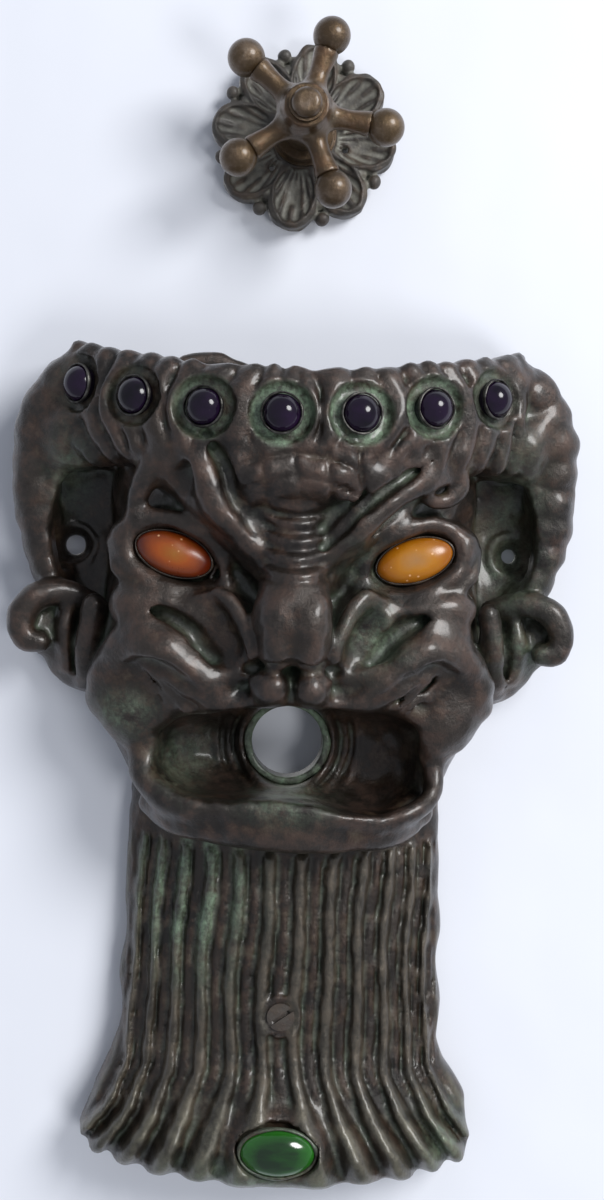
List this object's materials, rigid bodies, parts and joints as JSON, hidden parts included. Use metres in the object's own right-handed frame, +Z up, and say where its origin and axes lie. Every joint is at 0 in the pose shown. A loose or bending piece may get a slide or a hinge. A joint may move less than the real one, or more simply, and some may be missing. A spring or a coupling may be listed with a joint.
{
  "type": "door knocker mask plate with turn knob",
  "caption": "Hollow bronze grotesque mask plate for a door, with jewelled crown, bushed mouth hole and fluted beard, and a turn knob with ball-ended arms on a petalled rosette.",
  "frame": {"origin": "centre of the round hole in the mask's mouth, on the door's face", "axes": "+Z up the door, -Y out of the door towards the viewer, +X to the viewer's right"},
  "size_m": [0.2004, 0.0692, 0.4007],
  "materials": {
    "mask_bronze": "dark brown patina, waxed, verdigris in the hollows",
    "bush_bronze": "dark patina, worn",
    "bezel_metal": "worn bright on the edge",
    "dark_stone": "polished, nearly opaque dark purple",
    "amber_stone": "polished amber",
    "green_stone": "polished deep green",
    "screw_metal": "dull",
    "rosette_bronze": "aged grey brown",
    "knob_bronze": "worn golden brown",
    "ring_steel": "dull spring steel"
  },
  "bodies": {
    "mask": {"beard_collet": "bezel_metal", "beard_screw": "screw_metal", "beard_stone": "green_stone", "crown_bezel_1": "bezel_metal", "crown_bezel_2": "bezel_metal", "crown_bezel_3": "bezel_metal", "crown_bezel_4": "bezel_metal", "crown_bezel_5": "bezel_metal", "crown_bezel_6": "bezel_metal", "crown_bezel_7": "bezel_metal", "crown_stone_1": "dark_stone", "crown_stone_2": "dark_stone", "crown_stone_3": "dark_stone", "crown_stone_4": "dark_stone", "crown_stone_5": "dark_stone", "crown_stone_6": "dark_stone", "crown_stone_7": "dark_stone", "eye_left_collet": "bezel_metal", "eye_left_stone": "amber_stone", "eye_right_collet": "bezel_metal", "eye_right_stone": "amber_stone", "mask_casting": "mask_bronze", "mouth_bush": "bush_bronze", "rosette": "rosette_bronze", "rosette_bush": "bush_bronze"},
    "knob": {"arm_ball_1": "knob_bronze", "arm_ball_2": "knob_bronze", "arm_ball_3": "knob_bronze", "arm_ball_4": "knob_bronze", "arm_ball_5": "knob_bronze", "knob_arm_1": "knob_bronze", "knob_arm_2": "knob_bronze", "knob_arm_3": "knob_bronze", "knob_arm_4": "knob_bronze", "knob_arm_5": "knob_bronze", "knob_cap": "knob_bronze", "knob_hub": "knob_bronze", "knob_stem": "knob_bronze", "stem_ring": "ring_steel"}
  },
  "joints": [
    {"name": "knob_turn", "type": "hinge", "parent": "mask", "child": "knob", "pos_m": [0, 0, 0.215], "axis": [0, -1, 0], "continuous": true}
  ]
}
